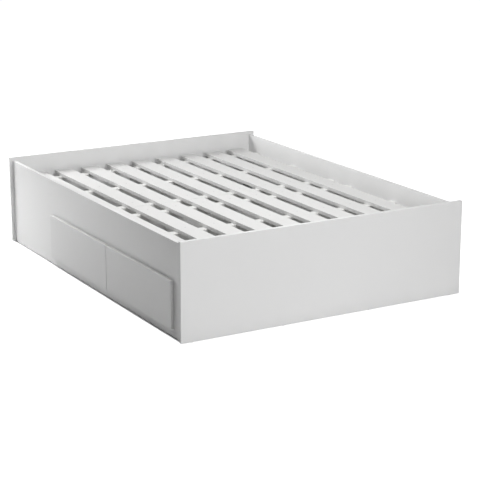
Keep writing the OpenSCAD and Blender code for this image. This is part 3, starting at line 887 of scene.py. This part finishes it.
def make_glides():
    """Nailed glides with a domed rim and a sunk nail head"""
    lo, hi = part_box("floor_glides")
    top = hi.z
    glide = turned("glide", [
        (0, 0.9 * MM), (1.8 * MM, 0.9 * MM), (2.2 * MM, 0.2 * MM), (4.8 * MM, 0),
        (6.4 * MM, 0.5 * MM), (7 * MM, 1.5 * MM), (7 * MM, top), (0, top)], steps=20)
    half_w, end_y = END_HI.x - GLIDE_END_IN, (END_LO.y + END_HI.y) / 2
    side_x, side_y = (SIDE_IN + SIDE_OUT) / 2, END_IN - GLIDE_SIDE_IN
    inner_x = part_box("foot_right_sides")[0].x
    places = [(x * half_w, turn * end_y) for turn in (-1, 1) for x in (-1, -1 / 3, 1 / 3, 1)]
    places += [(side * side_x, y * side_y) for side in (-1, 1) for y in (-1, 0, 1)]
    places += [(side * x, near.y + PART_T / 2) for side in (-1, 1)
               for x in (inner_x, SIDE_IN - GLIDE_PART_IN) for near, _ in PARTITIONS]
    pads = repeated("glide_pads", glide, [((x, y, 0), (0, 0, 1)) for x, y in places])
    bpy.data.objects.remove(glide)
    fit(pads, "frame", "glide_plastic", "floor_glides")


# ---- Slatted deck ----

def make_deck(wood_screw):
    """Slats with eased edges and countersunk holes, screwed down to three battens a half"""
    top = SLATS_HI.z
    for end, turn in ENDS:
        x = SLAT_XS[0]
        slat = block("slat", (x - SLAT_W / 2, turn * SLATS_LO.y, SLATS_LO.z),
                     (x + SLAT_W / 2, turn * SLATS_HI.y, top))
        cut(slat, [drill((x, turn * y, top), (0, 0, -1), SHANK_R, HEAD_T, HEAD_R + HOLE_PLAY)
                   for y in BATTEN_YS])
        ease(slat, 1.6 * MM, 3, 60)
        for number in range(SLAT_N):
            move = Matrix.Translation((number * SLAT_PITCH, 0, 0))
            fit(twin(slat, f"{end}_slat_{number + 1}", move), "frame", "slat_wood",
                end + "_slats")
        bpy.data.objects.remove(slat)
        for number, y in enumerate(BATTEN_YS):
            batten = block(f"{end}_batten_{number + 1}",
                           (BATTENS_LO.x, turn * y - BATTEN_W / 2, BATTENS_LO.z),
                           (BATTENS_HI.x, turn * y + BATTEN_W / 2, BATTENS_HI.z))
            fit(ease(batten, EDGE_EASE), "frame", "batten_wood", end + "_battens")
        screws = repeated(end + "_deck_screws", wood_screw,
                          [((x, turn * y, top), (0, 0, 1)) for x in SLAT_XS for y in BATTEN_YS])
        fit(screws, "frame", "screw_steel", "wood_screws")
    for hand, side in SIDES.items():
        screws = repeated(hand + "_ledger_screws", wood_screw,
                          [((side * LEDGER_LO.x, y, z), (-side, 0, 0))
                           for y, z in ledger_screw_places()])
        fit(screws, "frame", "screw_steel", "wood_screws")


# ---- Drawers and their runners ----

class Bay:
    """One drawer's place: sizes along the bed, s measured in from each partition's face"""

    def __init__(self, bay, hand):
        self.name = f"{bay}_{hand}"
        self.side = SIDES[hand]
        first = BAYS.index(bay)
        self.faces = ((PARTITIONS[first][1].y, 1), (PARTITIONS[first + 1][0].y, -1))
        self.box_lo, self.box_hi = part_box(f"{bay}_right_sides")
        self.front_lo, self.front_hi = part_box(f"{bay}_right_front")
        self.track_lo, self.track_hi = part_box(f"{bay}_right_tracks")
        self.runner_lo, self.runner_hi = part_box(f"{bay}_right_runners")
        self.bottom_lo, self.bottom_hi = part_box(f"{bay}_right_bottom")
        self.roller_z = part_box(f"{bay}_right_track_rollers")[0].z + ROLLER_R
        self.body = f"{self.name}_drawer"

    def point(self, x, s, z, face):
        y, turn = self.faces[face]
        return (self.side * x, y + turn * s, z)

    def node(self, part):
        return f"{self.name}_{part}"


def roller_pin(centre, axis):
    """Pin that a roller turns on, from the steel's middle to its riveted head"""
    return turned("pin", [(0, 0), (PIN_R - 0.05 * MM, 0), (PIN_R - 0.05 * MM, PIN_L),
                          (4.5 * MM, PIN_L + 0.05 * MM), (4.3 * MM, PIN_L + 0.5 * MM),
                          (3 * MM, PIN_L + 0.7 * MM), (0, PIN_L + 0.7 * MM)], centre, axis, 20)


def make_tracks(bay):
    """Channels on the two partitions, with punched holes and a riveted roller pin"""
    half = STEEL_T / 2
    lo, hi = bay.track_lo, bay.track_hi
    for face, (_, turn) in enumerate(bay.faces):
        line = [bay.point(lo.x, s, z, face) for s, z in (
            (TRACK_FLANGE, lo.z + half), (half, lo.z + half), (half, hi.z - half),
            (TRACK_LIP, hi.z - half))]
        track = folded(f"{bay.name}_track_{face + 1}", line, (bay.side * (hi.x - lo.x), 0, 0),
                       STEEL_T)
        cut(track, [drill(bay.point(lo.x + part * (hi.x - lo.x), STEEL_T, bay.roller_z, face),
                          (0, -turn, 0), TRACK_HOLE_R, 2 * STEEL_T, steps=12)
                    for part in TRACK_HOLES])
        pin = roller_pin(bay.point(hi.x - PIN_IN, half, bay.roller_z, face), (0, turn, 0))
        fit(joined(track.name, [track, pin]), "frame", "runner_steel", bay.node("tracks"))


def make_runners(bay):
    """Angles below the box sides, with a riveted roller pin at the inner end"""
    half = STEEL_T / 2
    lo, hi = bay.runner_lo, bay.runner_hi
    web = RUNNER_SPACE - half
    low, high = bay.box_lo.z - half, hi.z - half
    for face, (_, turn) in enumerate(bay.faces):
        line = [bay.point(lo.x, s, z, face) for s, z in (
            (RUNNER_SPACE + BOX_T - MM, low), (web, low), (web, high), (RUNNER_LIP, high))]
        runner = folded(f"{bay.name}_runner_{face + 1}", line, (bay.side * (hi.x - lo.x), 0, 0),
                        STEEL_T)
        cut(runner, [drill(bay.point(lo.x + part * (hi.x - lo.x), RUNNER_SPACE + BOX_T / 2,
                                     low - half, face), (0, 0, 1), RUNNER_HOLE_R, 2 * STEEL_T,
                           steps=12) for part in RUNNER_HOLES])
        pin = roller_pin(bay.point(lo.x + PIN_IN, web, bay.roller_z, face), (0, -turn, 0))
        fit(joined(runner.name, [runner, pin]), bay.body, "runner_steel", bay.node("runners"))


def make_roller_pattern():
    """Nylon roller with a dished face and six pockets, its axis along +Z"""
    r, w, bore = ROLLER_R, ROLLER_W, PIN_R + 0.05 * MM
    dish, edge = ROLLER_DISH, ROLLER_ROUND
    roller = turned("roller", [
        (bore, 0), (4.6 * MM, 0), (5.2 * MM, dish), (8.2 * MM, dish), (8.8 * MM, 0),
        (r - edge, 0), (r, edge), (r, w - edge), (r - edge, w), (8.8 * MM, w),
        (8.2 * MM, w - dish), (5.2 * MM, w - dish), (4.6 * MM, w), (bore, w), (bore, 0)],
        steps=30)
    pockets = []
    for number in range(POCKETS):
        angle = math.tau * number / POCKETS
        centre = (POCKET_OUT * math.cos(angle), POCKET_OUT * math.sin(angle), w)
        pockets.append(drill(centre, (0, 0, -1), POCKET_R, w / 2, steps=8))
    return cut(roller, pockets)


def make_rollers(bay, roller):
    for kind, x in (("track", bay.track_hi.x - PIN_IN), ("runner", bay.runner_lo.x + PIN_IN)):
        places = []
        for face, (_, turn) in enumerate(bay.faces):
            s = ROLLER_S if kind == "track" else ROLLER_S + ROLLER_W
            axis = turn if kind == "track" else -turn
            places.append((bay.point(x, s, bay.roller_z, face), (0, axis, 0)))
        wheels = repeated(f"{bay.name}_{kind}_wheels", roller, places)
        bpy.ops.object.shade_smooth_by_angle(angle=math.radians(SHARP))
        fit(wheels, bay.node(f"{kind}_rollers_body"), "roller_nylon", bay.node(f"{kind}_rollers"))


def cam_heights(bay):
    return (bay.box_lo.z + CAM_UP, bay.box_hi.z - BELOW_TOP)


def back_screw_heights(bay):
    return (bay.bottom_hi.z + BOX_SCREW_UP, bay.box_hi.z - BELOW_TOP)


def make_front(bay):
    """Front with a groove for the bottom and a coved finger pull behind its lower edge"""
    lo, hi = bay.front_lo, bay.front_hi
    side = bay.side
    front = block(bay.name + "_front_board", (side * lo.x, lo.y, lo.z), (side * hi.x, hi.y, hi.z))
    groove = block("tool", (side * (lo.x - MM), bay.bottom_lo.y - 0.5 * MM, bay.bottom_lo.z),
                   (side * (lo.x + GROOVE_D), bay.bottom_hi.y + 0.5 * MM,
                    bay.bottom_hi.z + 0.1 * MM))
    middle = (lo.y + hi.y) / 2
    pull = block("tool", (side * (lo.x - PULL_CLEAR), middle - PULL_HALF, lo.z - PULL_CLEAR),
                 (side * (lo.x + PULL_DEEP), middle + PULL_HALF, lo.z + PULL_HIGH))
    ease(pull, PULL_ROUND, 5)
    cut(front, [groove, pull])
    ease(front, PANEL_EASE, 3, 60)
    fit(front, bay.body, "front_lacquer", bay.node("front"))


def make_box(bay, cam, bolt, wood_screw):
    """Sides, back and bottom, with the cam locks and screws that hold them"""
    lo, hi, side = bay.box_lo, bay.box_hi, bay.side
    inner = RUNNER_SPACE + BOX_T
    cams, bolts, screws = [], [], []
    for face, (_, turn) in enumerate(bay.faces):
        board = block(f"{bay.name}_box_side_{face + 1}",
                      bay.point(lo.x, RUNNER_SPACE, lo.z, face),
                      bay.point(hi.x, inner, hi.z, face))
        groove = block("tool", bay.point(lo.x - MM, inner - GROOVE_D, bay.bottom_lo.z, face),
                       bay.point(hi.x + MM, inner + MM, bay.bottom_hi.z + 0.1 * MM, face))
        tools = [groove]
        for z in cam_heights(bay):
            centre = bay.point(hi.x - CAM_BACK, inner, z, face)
            tools.append(drill(centre, (0, -turn, 0), CAM_R + HOLE_PLAY, CAM_T + 2 * HOLE_PLAY,
                               steps=24))
            cams.append((centre, (0, turn, 0)))
            bolts.append((bay.point(hi.x - CAM_BACK, RUNNER_SPACE + BOX_T / 2, z, face),
                          (side, 0, 0)))
        for z in back_screw_heights(bay):
            centre = bay.point(lo.x + BOX_T / 2, RUNNER_SPACE, z, face)
            tools.append(drill(centre, (0, turn, 0), SHANK_R, HEAD_T, HEAD_R + HOLE_PLAY))
            screws.append((centre, (0, -turn, 0)))
        cut(board, tools)
        fit(ease(board, BOX_EASE, 2, 60), bay.body, "box_melamine", bay.node("sides"))
    back_lo, back_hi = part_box(bay.node("back"))
    fit(ease(block(bay.name + "_box_back", back_lo, back_hi), BOX_EASE), bay.body,
        "box_melamine", bay.node("back"))
    bottom_lo, bottom_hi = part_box(bay.node("bottom"))
    fit(ease(block(bay.name + "_box_bottom", bottom_lo, bottom_hi), 0.4 * MM, 1), bay.body,
        "bottom_board", bay.node("bottom"))
    for part, pattern, places in (("cam_locks", cam, cams), ("cam_bolts", bolt, bolts),
                                  ("box_screws", wood_screw, screws)):
        fit(repeated(f"{bay.name}_{part}", pattern, places), bay.body, "screw_steel",
            bay.node("fixings"))


def build():
    make_end_panels()
    make_side_panels()
    make_partitions()
    make_ledgers()
    make_beams()
    make_leg()
    wood_screw, pan_screw = make_wood_screw(), make_pan_screw()
    make_deck(wood_screw)
    places = make_hangers() + make_corner_brackets()
    fit(repeated("pan_head_screws", pan_screw, places), "frame", "screw_steel", "bracket_screws")
    make_glides()
    cam, bolt, roller = make_cam(), make_cam_bolt(), make_roller_pattern()
    for bay, hand in DRAWERS:
        place = Bay(bay, hand)
        make_tracks(place)
        make_runners(place)
        make_rollers(place, roller)
        make_front(place)
        make_box(place, cam, bolt, wood_screw)
    for pattern in (wood_screw, pan_screw, cam, bolt, roller):
        bpy.data.objects.remove(pattern)
    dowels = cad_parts["dowels"]
    dowels.data.materials.clear()
    dowels.data.materials.append(FINISHES["beam_wood"])


place_camera()
light_sky()
hang_softboxes()
lay_floor()
build()
